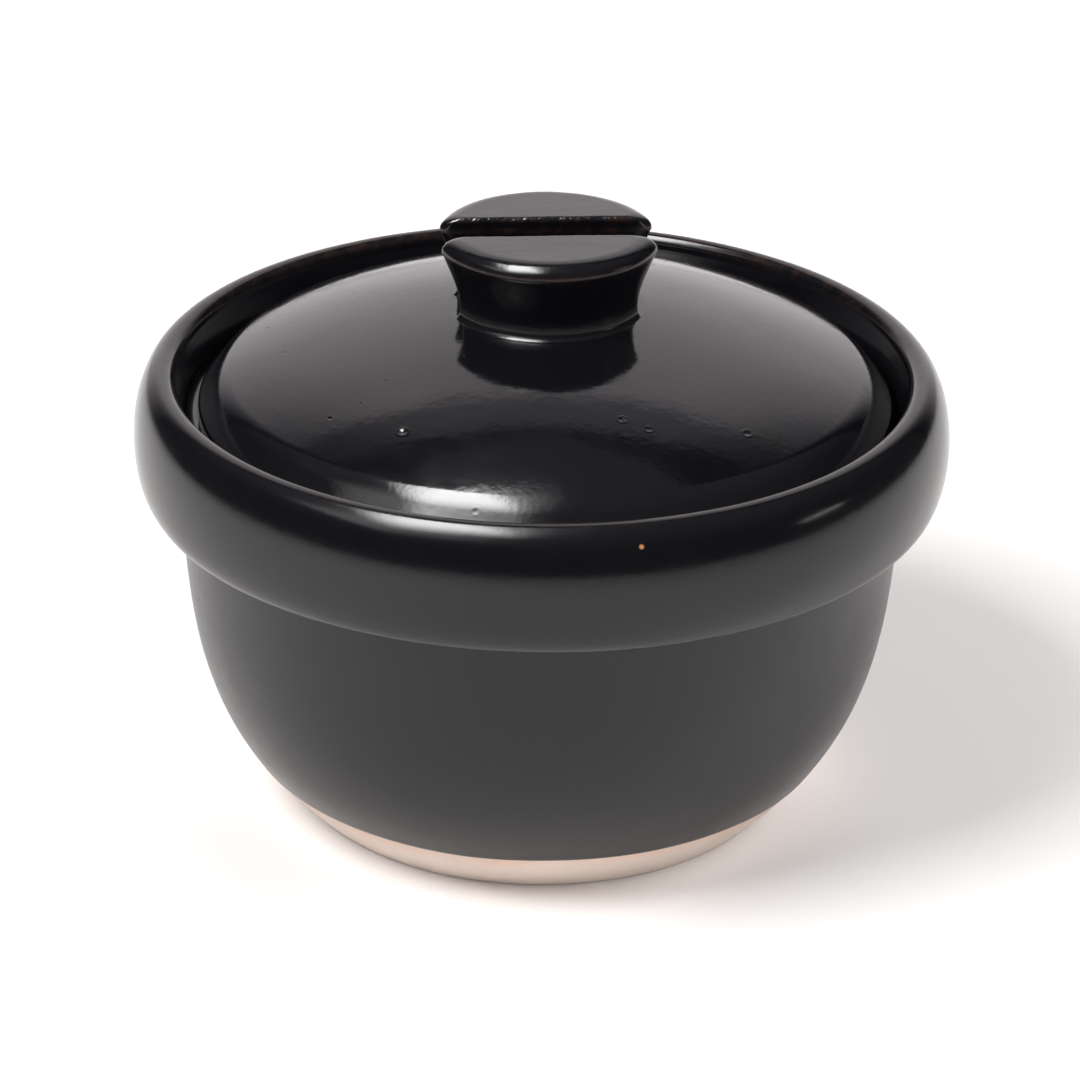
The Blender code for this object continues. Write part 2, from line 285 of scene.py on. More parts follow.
def collar_outline():
    """The rolled collar: a soft inner corner under it, its crisp lower edge, the roll and the mouth."""
    lower_edge_radius = 0.9535 * COLLAR_RADIUS
    edge_rounding = 0.9 * MM
    widest_height = 0.942 * COLLAR_RADIUS
    crest_radius = 0.925 * COLLAR_RADIUS
    mouth_radius = 0.8985 * COLLAR_RADIUS
    inner_drop = 0.027 * COLLAR_RADIUS
    ledge_outer_radius = 0.876 * COLLAR_RADIUS
    ledge_fillet = 0.03 * COLLAR_RADIUS
    return joined(
        line((WALL_TOP_RADIUS + 0.6 * MM, CREASE_HEIGHT + 0.1 * MM),
             (lower_edge_radius - edge_rounding, CREASE_HEIGHT), 5),
        arc((lower_edge_radius - edge_rounding, CREASE_HEIGHT + edge_rounding),
            (edge_rounding, edge_rounding), -90, -12, 8),
        arc((lower_edge_radius, widest_height),
            (COLLAR_RADIUS - lower_edge_radius, widest_height - CREASE_HEIGHT), -72, 0, 26),
        arc((crest_radius, widest_height),
            (COLLAR_RADIUS - crest_radius, RIM_HEIGHT - widest_height), 0, 90, 60),
        arc((crest_radius, RIM_HEIGHT - inner_drop), (crest_radius - mouth_radius, inner_drop), 90, 170, 22),
        line((mouth_radius + 0.1 * MM, RIM_HEIGHT - 1.2 * inner_drop),
             (ledge_outer_radius, LEDGE_HEIGHT + ledge_fillet), 14),
        arc((ledge_outer_radius - ledge_fillet, LEDGE_HEIGHT + ledge_fillet),
            (ledge_fillet, ledge_fillet), -8, -90, 10),
    )


def inside_outline():
    """The ledge that carries the lid and the inside of the bowl, down to the axis."""
    rounding = 0.0075 * COLLAR_RADIUS
    lip = 0.065 * COLLAR_RADIUS
    top_radius = WALL_TOP_RADIUS - WALL_THICKNESS
    top_height = CREASE_HEIGHT - WALL_THICKNESS
    floor_height = 1.15 * WALL_THICKNESS
    return joined(
        line((0.83 * COLLAR_RADIUS, LEDGE_HEIGHT), (LEDGE_INNER_RADIUS + rounding, LEDGE_HEIGHT), 6),
        arc((LEDGE_INNER_RADIUS + rounding, LEDGE_HEIGHT - rounding), (rounding, rounding), 90, 180, 6),
        curve(
            (LEDGE_INNER_RADIUS, LEDGE_HEIGHT - lip),
            (LEDGE_INNER_RADIUS, LEDGE_HEIGHT - 1.8 * lip),
            (top_radius, top_height + lip),
            (top_radius, top_height),
            16,
        ),
        curve(
            (top_radius, top_height),
            (top_radius - 0.01 * COLLAR_RADIUS, 0.52 * top_height),
            (0.70 * COLLAR_RADIUS, floor_height),
            (0.40 * COLLAR_RADIUS, floor_height),
            40,
        ),
        line((0.40 * COLLAR_RADIUS, floor_height), (4 * MM, floor_height), 12),
    )


def build_pot(glaze, clay):
    """Bowl, foot and collar as one turned shell, glazed except for the foot and the band above it."""
    angles = np.arange(TURNS) * (2 * math.pi / TURNS)
    foot = foot_outline()
    upper = joined(collar_outline(), inside_outline())
    wall_radii, wall_heights, wall_slots, wall_flash = wall_rows(angles)
    spread = np.ones(TURNS)
    radii = np.vstack((foot[:, :1] * spread, wall_radii, upper[:, :1] * spread))
    heights = np.vstack((foot[:, 1:] * spread, wall_heights, upper[:, 1:] * spread))
    slots = np.concatenate((np.full(len(foot), CLAY_SLOT), wall_slots, np.full(len(upper), GLAZE_SLOT)))
    flash = np.concatenate((np.zeros(len(foot)), wall_flash, np.zeros(len(upper))))
    satin = np.clip((CREASE_HEIGHT + 2 * MM - heights.mean(1)) / (3 * MM), 0, 1)
    crest = np.exp(-(((upper[:, 0] - 0.915 * COLLAR_RADIUS) / (1.6 * MM)) ** 2))
    crest *= upper[:, 1] > RIM_HEIGHT - 3 * MM
    thin = np.concatenate((np.zeros(len(foot) + len(wall_flash)), crest))
    values = {"flash": flash, "satin": satin, "thin": thin}
    pot = turned("pot_shell", radii, heights, False, slots, values)
    finish_mesh(pot)

    def off_the_ground(points):
        return np.clip((points[:, 2] - 2 * MM) / (10 * MM), 0, 1)

    add_relief(pot, ((0.16 * MM, 60 * MM, 1), (0.035 * MM, 15 * MM, 2)), off_the_ground)
    pot.data.materials.append(glaze)
    pot.data.materials.append(clay)
    return pot


# ---------------------------------------------------------------- lid

DOME_RADIUS = 1.826 * COLLAR_RADIUS
DOME_CENTRE_HEIGHT = 1.283 * COLLAR_RADIUS - DOME_RADIUS
LID_EDGE_ROUNDING = 0.03 * COLLAR_RADIUS
SHOULDER_START = 0.77 * COLLAR_RADIUS
SHOULDER_ROUNDING = 0.11 * COLLAR_RADIUS
SHOULDER_SLOPE = math.radians(50)
LID_SEAT_HEIGHT = LEDGE_HEIGHT + 0.3 * MM
KNOB_BASE_RADIUS = 0.845 * KNOB_REACH
PAD_RADIUS = 1.045 * KNOB_BASE_RADIUS
VENT_RADIUS = 4 * MM
VENT_ROUNDING = 0.8 * MM
LID_FOOT_ROUNDING = 1.4 * MM
SEAT_CORNER = 0.6 * MM

# The five burst bubbles that stand out in the lid's glaze: bearing in degrees from +X, distance from
# the middle as a share of the lid's radius, and width in millimetres. Smaller ones are scattered.
LARGE_CRATERS = ((235, 0.75, 2.2), (285, 0.65, 1.8), (290, 0.70, 1.6), (310, 0.80, 1.8), (255, 0.95, 1.2))
SMALL_CRATER_COUNT = 20


def scattered_craters():
    """The large craters, then small ones at seeded random places on the outer half of the dome."""
    chance = np.random.default_rng(8)
    craters = list(LARGE_CRATERS)
    for _ in range(SMALL_CRATER_COUNT):
        craters.append((chance.uniform(0, 360), chance.uniform(0.5, 0.95), chance.uniform(0.8, 1.3)))
    return craters


def dome_height(radius, distance):
    """Height of the dome's sphere, of the given radius, at a distance from the axis."""
    return DOME_CENTRE_HEIGHT + np.sqrt(radius ** 2 - distance ** 2)


def lid_top_outline():
    """The vent's edge, the flat pad under the knob, the dome, its soft shoulder and the outer edge."""
    dome_slope = math.asin(SHOULDER_START / DOME_RADIUS)
    shoulder = arc(
        (
            SHOULDER_START - SHOULDER_ROUNDING * math.sin(dome_slope),
            dome_height(DOME_RADIUS, SHOULDER_START) - SHOULDER_ROUNDING * math.cos(dome_slope),
        ),
        (SHOULDER_ROUNDING, SHOULDER_ROUNDING),
        90 - math.degrees(dome_slope),
        90 - math.degrees(SHOULDER_SLOPE),
        24,
    )
    edge_radius = LID_RADIUS - LID_EDGE_ROUNDING * (1 - math.sin(SHOULDER_SLOPE))
    fall = (edge_radius - shoulder[-1][0]) * math.tan(SHOULDER_SLOPE)
    edge_height = shoulder[-1][1] - fall - LID_EDGE_ROUNDING * math.cos(SHOULDER_SLOPE)
    edge = arc(
        (LID_RADIUS - LID_EDGE_ROUNDING, edge_height),
        (LID_EDGE_ROUNDING, LID_EDGE_ROUNDING),
        90 - math.degrees(SHOULDER_SLOPE),
        0,
        12,
    )
    distances = np.linspace(PAD_RADIUS, SHOULDER_START, 110)
    dome = np.column_stack((distances, dome_height(DOME_RADIUS, distances)))
    return joined(
        line((VENT_RADIUS, PAD_HEIGHT - 4 * MM), (VENT_RADIUS, PAD_HEIGHT - VENT_ROUNDING), 3),
        arc(
            (VENT_RADIUS + VENT_ROUNDING, PAD_HEIGHT - VENT_ROUNDING),
            (VENT_ROUNDING, VENT_ROUNDING),
            180,
            90,
            5,
        ),
        line((VENT_RADIUS + VENT_ROUNDING, PAD_HEIGHT), (PAD_RADIUS, PAD_HEIGHT), 14),
        dome,
        shoulder,
        line(shoulder[-1], edge[0], 8),
        edge,
        line((LID_RADIUS, edge_height), (LID_RADIUS, LID_SEAT_HEIGHT + LID_FOOT_ROUNDING), 4),
    )


def lid_underside_outline():
    """The rounded foot of the edge, the bare seat, the locating skirt and the hollow underside."""
    skirt_radius = LEDGE_INNER_RADIUS - 0.010 * COLLAR_RADIUS
    skirt_inner = skirt_radius - 0.045 * COLLAR_RADIUS
    rounding = 1.2 * MM
    inner_dome = DOME_RADIUS - WALL_THICKNESS
    hollow_edge = skirt_inner - WALL_THICKNESS / 2
    distances = np.linspace(hollow_edge, VENT_RADIUS + VENT_ROUNDING, 60)
    hollow = np.column_stack((distances, dome_height(inner_dome, distances)))
    return joined(
        arc(
            (LID_RADIUS - LID_FOOT_ROUNDING, LID_SEAT_HEIGHT + LID_FOOT_ROUNDING),
            (LID_FOOT_ROUNDING, LID_FOOT_ROUNDING),
            0,
            -90,
            6,
        ),
        line(
            (LID_RADIUS - LID_FOOT_ROUNDING, LID_SEAT_HEIGHT),
            (skirt_radius + SEAT_CORNER, LID_SEAT_HEIGHT),
            5,
        ),
        arc(
            (skirt_radius + SEAT_CORNER, LID_SEAT_HEIGHT - SEAT_CORNER),
            (SEAT_CORNER, SEAT_CORNER),
            90,
            180,
            4,
        ),
        line((skirt_radius, LID_SEAT_HEIGHT - SEAT_CORNER), (skirt_radius, SKIRT_FOOT_HEIGHT + rounding), 4),
        arc((skirt_radius - rounding, SKIRT_FOOT_HEIGHT + rounding), (rounding, rounding), 0, -90, 6),
        arc((skirt_inner + rounding, SKIRT_FOOT_HEIGHT + rounding), (rounding, rounding), -90, -180, 6),
        curve(
            (skirt_inner, SKIRT_FOOT_HEIGHT + rounding),
            (skirt_inner, hollow[0][1] - 2 * MM),
            (skirt_inner, hollow[0][1] - 1 * MM),
            hollow[0],
            12,
        ),
        hollow,
        arc(
            (VENT_RADIUS + VENT_ROUNDING, hollow[-1][1] + VENT_ROUNDING),
            (VENT_ROUNDING, VENT_ROUNDING),
            270,
            180,
            4,
        ),
    )


def crater_dent(points, bearing, share, width):
    """Depth of one burst bubble at each point: a round pit with a low healed lip."""
    angle = math.radians(bearing)
    reach = share * LID_RADIUS
    apart = np.hypot(points[:, 0] - reach * math.cos(angle), points[:, 1] - reach * math.sin(angle))
    share_out = apart / (width * MM / 2)
    pit = np.where(share_out < 1, (1 - share_out ** 2) ** 2, 0.0)
    lip = np.exp(-((share_out - 1.15) / 0.28) ** 2)
    return width * MM * (0.02 * lip - 0.11 * pit)


def refine_craters(piece, craters):
    """Split the faces round each crater so that the dent is real geometry."""
    edit = bmesh.new()
    edit.from_mesh(piece.data)
    for bearing, share, width in craters:
        angle = math.radians(bearing)
        centre = Vector((math.cos(angle), math.sin(angle), 0.0)) * (share * LID_RADIUS)
        near = []
        for edge in edit.edges:
            middle = (edge.verts[0].co + edge.verts[1].co) / 2
            on_top = middle.z > LID_SEAT_HEIGHT + 5 * MM
            if on_top and (Vector((middle.x, middle.y, 0.0)) - centre).length < width * MM + 1.2 * MM:
                near.append(edge)
        bmesh.ops.subdivide_edges(edit, edges=near, cuts=3, use_grid_fill=True)
    edit.to_mesh(piece.data)
    edit.free()


def settle_lid_top(piece, top, craters):
    """Put the lid's upper surface on its outline, with the glaze's waves and its burst bubbles."""
    points, _ = mesh_points(piece.data)
    distance = np.hypot(points[:, 0], points[:, 1])
    last = LID_RADIUS - LID_EDGE_ROUNDING / 2
    falling = top[(top[:, 0] >= PAD_RADIUS) & (top[:, 0] <= last)]
    surface = np.interp(distance, falling[:, 0], falling[:, 1])
    within = (distance > PAD_RADIUS - 0.1 * MM) & (distance < last - 0.2 * MM)
    on_top = within & (points[:, 2] > surface - 1.5 * MM)
    points[on_top, 2] = surface[on_top]
    waves = 0.16 * noise_values(points[on_top], 30 * MM, 11)
    waves += 0.045 * noise_values(points[on_top], 14 * MM, 12)
    waves += 0.010 * noise_values(points[on_top], 7 * MM, 13)
    fade = np.clip((last - distance[on_top]) / (5 * MM), 0, 1)
    fade *= np.clip((distance[on_top] - PAD_RADIUS) / (4 * MM), 0, 1)
    points[on_top, 2] += waves * MM * fade
    for crater in craters:
        points[on_top, 2] += crater_dent(points[on_top], *crater)
    piece.data.vertices.foreach_set("co", points.ravel())
    piece.data.update()


def build_lid(glaze, clay):
    """The lid: glossy dome above, bare clay on the seat and the skirt's foot."""
    top = lid_top_outline()
    under = lid_underside_outline()
    outline = joined(top, under)
    spread = np.ones(TURNS)
    radii = outline[:, :1] * spread
    heights = outline[:, 1:] * spread
    outside_hollow = outline[:, 0] > LEDGE_INNER_RADIUS - 0.075 * COLLAR_RADIUS
    inside_edge = outline[:, 0] < LID_RADIUS - 1.0 * MM
    bare = outside_hollow & inside_edge & (outline[:, 1] <= LID_SEAT_HEIGHT + 0.1 * MM)
    slots = np.where(bare, CLAY_SLOT, GLAZE_SLOT)
    plain = np.zeros(len(outline))
    values = {"flash": plain, "satin": plain, "thin": plain}
    lid = turned("lid_shell", radii, heights, True, slots, values)
    finish_mesh(lid)
    craters = scattered_craters()
    refine_craters(lid, craters)
    settle_lid_top(lid, top, craters)
    finish_mesh(lid)
    lid.data.materials.append(glaze)
    lid.data.materials.append(clay)
    lid.location = LID_OFFSET
    return lid


# ---------------------------------------------------------------- split knob

KNOB_CORNER = 0.075 * KNOB_REACH
KNOB_EDGE_DROP = 0.135 * KNOB_REACH
KNOB_EDGE_WIDTH = 0.17 * KNOB_REACH
KNOB_LIP_RISE = 0.2 * MM
KNOB_LIP_INSET = 0.25 * MM
FILLET_WIDTH = 2.2 * MM
FILLET_HEIGHT = 2.5 * MM
SLOT_EDGE_ROUNDING = 0.22 * SLOT_HALF_WIDTH


def half_round(radius, flat_offset, corner):
    """Outline of a half round: rounded corners, the outer arc, and a finely divided flat side."""
    corner_y = flat_offset + corner
    corner_x = math.sqrt((radius - corner) ** 2 - corner_y ** 2)
    meeting = math.degrees(math.atan2(corner_y, corner_x))
    right = arc((corner_x, corner_y), (corner, corner), -90, meeting, 8)
    outer = arc((0.0, 0.0), (radius, radius), meeting, 180 - meeting, 120)
    left = arc((-corner_x, corner_y), (corner, corner), 180 - meeting, 270, 8)
    flat = line((-corner_x, flat_offset), (corner_x, flat_offset), 150)
    return np.vstack((right, outer[1:], left[1:], flat[1:-1]))


def slot_edge_inset(height):
    """How far the rounded edge of the slot has drawn back at a height."""
    rise = np.clip(height - (KNOB_TOP_HEIGHT - SLOT_EDGE_ROUNDING), 0, SLOT_EDGE_ROUNDING)
    return SLOT_EDGE_ROUNDING - math.sqrt(SLOT_EDGE_ROUNDING ** 2 - rise ** 2)


def knob_levels():
    """Levels of the knob from its glazed fillet to its flat top: (radius, height, fillet spread)."""
    lip_height = KNOB_TOP_HEIGHT - KNOB_EDGE_DROP
    base_height = PAD_HEIGHT + 0.3 * MM
    side_height = lip_height - base_height
    fillet = arc((FILLET_WIDTH, FILLET_WIDTH), (FILLET_WIDTH, FILLET_HEIGHT), -90, -180, 9)
    levels = []
    for spread, rise in fillet[:-1]:
        levels.append((KNOB_BASE_RADIUS, PAD_HEIGHT - 0.1 * MM + rise, spread))
    taper = curve(
        (KNOB_BASE_RADIUS, base_height + FILLET_WIDTH),
        (KNOB_BASE_RADIUS, base_height + 0.45 * side_height),
        (KNOB_BASE_RADIUS + 0.55 * (KNOB_REACH - KNOB_BASE_RADIUS), base_height + 0.70 * side_height),
        (KNOB_REACH - KNOB_LIP_INSET, lip_height - KNOB_LIP_INSET),
        26,
    )
    lip = curve(
        (KNOB_REACH - KNOB_LIP_INSET, lip_height - KNOB_LIP_INSET),
        (KNOB_REACH - 0.08 * MM, lip_height - 0.18 * MM),
        (KNOB_REACH, lip_height),
        (KNOB_REACH, lip_height + KNOB_LIP_RISE),
        5,
    )
    edge = arc(
        (KNOB_REACH - KNOB_EDGE_WIDTH, lip_height + KNOB_LIP_RISE),
        (KNOB_EDGE_WIDTH, KNOB_TOP_HEIGHT - lip_height - KNOB_LIP_RISE),
        0,
        90,
        26,
    )
    for radius, height in joined(taper, lip, edge):
        levels.append((radius, height, 0.0))
    return levels


def build_knob_half(name, side, glaze, seed):
    """One half of the knob with its fillet onto the lid; side is +1 for the rear half."""
    rings = []
    for radius, height, spread in knob_levels():
        flat_offset = SLOT_HALF_WIDTH + slot_edge_inset(height) - 0.35 * spread
        outline = half_round(radius + spread, flat_offset, KNOB_CORNER + 0.5 * spread)
        rings.append(np.column_stack((outline, np.full(len(outline), height))))
    top_ring = rings[-1]
    middle = top_ring.mean(0)
    for share in (0.96, 0.88, 0.74, 0.56, 0.36, 0.16):
        rings.append(middle + (top_ring - middle) * share)
    columns = len(top_ring)
    points = np.vstack(rings) * np.array((side, side, 1.0))
    faces = grid_faces(len(rings), columns, False).tolist()
    faces.append(list(range(columns)))
    faces.append(list(range((len(rings) - 1) * columns, len(rings) * columns)))
    mesh = bpy.data.meshes.new(name)
    mesh.from_pydata(points.tolist(), [], faces)
    depth = KNOB_TOP_HEIGHT - points[:, 2]
    lip_edge = np.exp(-(((depth - 3.4 * MM) / (0.9 * MM)) ** 2))
    slot_side = np.exp(-(((np.abs(points[:, 1]) - SLOT_HALF_WIDTH) / (0.9 * MM)) ** 2))
    slot_rim = slot_side * np.exp(-((depth / (1.2 * MM)) ** 2))
    foot = np.exp(-(((points[:, 2] - PAD_HEIGHT - 2.4 * MM) / (1.4 * MM)) ** 2))
    store_value(mesh, "satin", np.maximum(foot, lip_edge))
    store_value(mesh, "thin", np.maximum(lip_edge, slot_rim))
    half = new_object(name, mesh)
    finish_mesh(half, math.radians(60))

    def above_pad(places):
        return np.clip((places[:, 2] - PAD_HEIGHT - 0.5 * MM) / (3 * MM), 0, 1)

    def slot_edge(places):
        depth = KNOB_TOP_HEIGHT - places[:, 2]
        near_flat = np.exp(-((np.abs(places[:, 1]) - SLOT_HALF_WIDTH - 0.4 * MM) / (0.7 * MM)) ** 2)
        return near_flat * np.exp(-((depth - 0.6 * MM) / (0.9 * MM)) ** 2)

    add_relief(half, ((0.10 * MM, 14 * MM, seed), (0.03 * MM, 5 * MM, seed + 1)), above_pad)
    add_relief(half, ((0.07 * MM, 0.6 * MM, seed + 2), (0.12 * MM, 2.6 * MM, seed + 3)), slot_edge)
    half.data.materials.append(glaze)
    half.location = LID_OFFSET
    return half


# ---------------------------------------------------------------- materials

class Graph:
    """A small helper that adds shader nodes and links them."""

    def __init__(self, name):
        self.material = bpy.data.materials.new(name)
        self.material.use_nodes = True
        self.tree = self.material.node_tree
        self.shader = self.tree.nodes["Principled BSDF"]
        self.place = self.add("ShaderNodeTexCoord").outputs["Object"]

    def add(self, kind, **inputs):
        node = self.tree.nodes.new(kind)
        for key, value in inputs.items():
            self.set(node, key, value)
        return node

    def set(self, node, key, value):
        socket = node.inputs[key.replace("_", " ")]
        if isinstance(value, bpy.types.NodeSocket):
            self.tree.links.new(value, socket)
        else:
            socket.default_value = value

    def noise(self, scale, detail=2.0, roughness=0.5):
        node = self.add("ShaderNodeTexNoise", Vector=self.place, Scale=scale)
        node.inputs["Detail"].default_value = detail
        node.inputs["Roughness"].default_value = roughness
        return node.outputs["Fac"]

    def fit(self, value, from_low, from_high, to_low, to_high):
        node = self.add("ShaderNodeMapRange", Value=value)
        node.clamp = True
        node.inputs["From Min"].default_value = from_low
        node.inputs["From Max"].default_value = from_high
        node.inputs["To Min"].default_value = to_low
        node.inputs["To Max"].default_value = to_high
        return node.outputs["Result"]

    def blend(self, factor, first, second):
        node = self.tree.nodes.new("ShaderNodeMix")
        node.data_type = "RGBA"
        self.tree.links.new(factor, node.inputs[0])
        for socket, value in ((node.inputs[6], first), (node.inputs[7], second)):
            if isinstance(value, bpy.types.NodeSocket):
                self.tree.links.new(value, socket)
            else:
                socket.default_value = value
        return node.outputs[2]

    def math(self, operation, first, second):
        node = self.tree.nodes.new("ShaderNodeMath")
        node.operation = operation
        for socket, value in zip(node.inputs, (first, second)):
            if isinstance(value, bpy.types.NodeSocket):
                self.tree.links.new(value, socket)
            else:
                socket.default_value = value
        return node.outputs[0]

    def stored(self, name):
        node = self.tree.nodes.new("ShaderNodeAttribute")
        node.attribute_name = name
        return node.outputs["Fac"]

    def bump(self, height, distance, normal=None):
        node = self.add("ShaderNodeBump", Height=height, Strength=1.0, Distance=distance)
        if normal is not None:
            self.tree.links.new(normal, node.inputs["Normal"])
        return node.outputs["Normal"]

    def finish(self, **outputs):
        for key, value in outputs.items():
            self.set(self.shader, key, value)
        return self.material


def pinholes(graph, scale, width):
    """1 at tiny pits scattered one to a cell, 0 elsewhere."""
    cells = graph.add("ShaderNodeTexVoronoi", Vector=graph.place, Scale=scale)
    return graph.fit(cells.outputs["Distance"], 0.0, width, 1.0, 0.0)


def black_glaze(name, depth, gloss, satin, peel, shine, fleck=None):
    """Black glaze: near-black with a faint brown break, orange-peel skin and pinholes.

    depth is how much light the black gives back; gloss and satin are the roughness where the stored
    satin value is 0 and 1; shine is the index of refraction; fleck is the place of one iron fleck.
    """
    graph = Graph(name)
    tone = graph.fit(graph.noise(45, 4.0, 0.6), 0.35, 0.75, 0.0, 1.0)
    cool = (0.85 * depth, 0.80 * depth, 1.25 * depth, 1.0)
    warm = (1.15 * depth, 1.00 * depth, 1.15 * depth, 1.0)
    colour = graph.blend(tone, cool, warm)
    patches = graph.fit(graph.noise(330, 3.0, 0.7), 0.45, 0.75, 0.0, 1.0)
    broken = graph.math("MULTIPLY", graph.stored("thin"), patches)
    colour = graph.blend(broken, colour, (0.030, 0.014, 0.009, 1.0))
    speck = graph.fit(graph.noise(900, 2.0, 0.7), 0.70, 0.78, 0.0, 0.5)
    colour = graph.blend(speck, colour, (0.020, 0.016, 0.015, 1.0))
    if fleck is not None:
        away = graph.add("ShaderNodeVectorMath")
        away.operation = "DISTANCE"
        graph.tree.links.new(graph.place, away.inputs[0])
        away.inputs[1].default_value = fleck
        spot = graph.fit(away.outputs["Value"], 0.3 * MM, 0.7 * MM, 1.0, 0.0)
        colour = graph.blend(spot, colour, (0.42, 0.19, 0.08, 1.0))
    cloud = graph.fit(graph.noise(120, 5.0, 0.65), 0.3, 0.75, -0.02, 0.04)
    base = graph.fit(graph.stored("satin"), 0.0, 1.0, gloss, satin)
    roughness = graph.math("ADD", base, cloud)
    skin = graph.bump(graph.noise(420, 2.0, 0.5), peel)
    pits = graph.bump(graph.math("MULTIPLY", pinholes(graph, 75, 0.02), -1.0), 0.0002, skin)
    return graph.finish(Base_Color=colour, Roughness=roughness, Normal=pits, IOR=shine)


def bare_clay(name):
    """Pale unglazed clay: soft mottling, iron specks, fine grain and an orange flash by the glaze."""
    graph = Graph(name)
    mottle = graph.fit(graph.noise(70, 4.0, 0.6), 0.3, 0.7, 0.0, 1.0)
    colour = graph.blend(mottle, (0.70, 0.600, 0.535, 1.0), (0.76, 0.665, 0.600, 1.0))
    flash_near_glaze = graph.stored("flash")
    flash_patches = graph.fit(graph.noise(60, 3.0), 0.3, 0.7, 0.15, 0.75)
    flash = graph.math("MULTIPLY", flash_near_glaze, flash_patches)
    colour = graph.blend(flash, colour, (0.74, 0.47, 0.33, 1.0))
    speck = graph.fit(graph.noise(1500, 2.0, 0.6), 0.72, 0.80, 0.0, 0.45)
    colour = graph.blend(speck, colour, (0.42, 0.27, 0.18, 1.0))
    roughness = graph.fit(graph.noise(300, 3.0), 0.3, 0.7, 0.78, 0.92)
    grain = graph.bump(graph.noise(2200, 3.0, 0.7), 0.00012)
    return graph.finish(Base_Color=colour, Roughness=roughness, Normal=grain)


# ---------------------------------------------------------------- studio

CAMERA_AZIMUTH = math.radians(-3.8)
CAMERA_ELEVATION = math.radians(28.843)
CAMERA_PITCH = math.radians(25.654)
CAMERA_ROLL = math.radians(0.765)
CAMERA_DISTANCE = 10.27 * COLLAR_RADIUS
CAMERA_LENS = 133.3
SENSOR_WIDTH = 36.0
CEILING_GLOW = 0.16
HORIZON_GLOW = 0.04
BACKDROP_STRENGTH = 1.12
BACKDROP_TINT = (1.02, 0.965, 0.985, 1.0)
SOFTBOX_STRENGTH = 21.0
SPILL_STRENGTH = 1.6
FLOOR_NEAR = (0.875, 0.845, 0.835, 1.0)
# Far floor colour: painted shade that stands for the light's falloff away from the pot
FLOOR_FAR_PAINTED_SHADE = (0.60, 0.580, 0.572, 1.0)


def studio_point(right, away, up):
    """A place in the studio, measured to the camera's right, away from it, and up."""
    turn = Matrix.Rotation(CAMERA_AZIMUTH, 4, "Z")
    return turn @ Vector((right, away, up))


def build_camera():
    """The camera stands a little to the left, looks down on the pot and is very slightly rolled."""
    lens = bpy.data.cameras.new("camera")
    lens.lens = CAMERA_LENS
    lens.sensor_width = SENSOR_WIDTH
    camera = bpy.data.objects.new("camera", lens)
    bpy.context.scene.collection.objects.link(camera)
    level = CAMERA_DISTANCE * math.cos(CAMERA_ELEVATION)
    camera.location = studio_point(0.0, -level, CAMERA_DISTANCE * math.sin(CAMERA_ELEVATION))
    turn = Matrix.Rotation(CAMERA_AZIMUTH, 4, "Z")
    tilt = Matrix.Rotation(math.pi / 2 - CAMERA_PITCH, 4, "X")
    roll = Matrix.Rotation(CAMERA_ROLL, 4, "Z")
    camera.rotation_euler = (turn @ tilt @ roll).to_euler()
    bpy.context.scene.camera = camera


def area_light(name, place, size, radiance, target, diffuse=True, glossy=True):
    """A rectangular soft light of a given brightness, aimed at a place."""
    lamp = bpy.data.lights.new(name, "AREA")
    lamp.shape = "RECTANGLE"
    lamp.size, lamp.size_y = size
    lamp.energy = radiance * math.pi * size[0] * size[1]
    light = bpy.data.objects.new(name, lamp)
    bpy.context.scene.collection.objects.link(light)
    light.location = studio_point(*place)
    aim = studio_point(*target) - light.location
    light.rotation_euler = aim.to_track_quat("-Z", "Y").to_euler()
    light.visible_camera = False
    light.visible_diffuse = diffuse
    light.visible_glossy = glossy
    return light


def ramp(graph, value, dark, bright):
    """A soft step from 0 where the value is dark to 1 where it is bright."""
    node = graph.add("ShaderNodeMapRange", Value=value)
    node.interpolation_type = "SMOOTHSTEP"
    node.clamp = True
    node.inputs["From Min"].default_value = dark
    node.inputs["From Max"].default_value = bright
    return node.outputs["Result"]


def glow(graph, strength, tint=(1.0, 1.0, 1.0, 1.0)):
    """A glow whose strength varies over the card."""
    return graph.finish(
        Base_Color=(0.0, 0.0, 0.0, 1.0),
        Roughness=1.0,
        Specular_IOR_Level=0.0,
        Emission_Color=tint,
        Emission_Strength=strength,
    )


def studio_card(name, points, faces, material):
    """A glowing card laid out in studio measures, seen only in reflections."""
    mesh = bpy.data.meshes.new(name)
    mesh.from_pydata(points, [], faces)
    mesh.materials.append(material)
    card = new_object(name, mesh)
    card.rotation_euler = (0.0, 0.0, CAMERA_AZIMUTH)
    card.visible_camera = False
    card.visible_diffuse = False
    card.visible_shadow = False


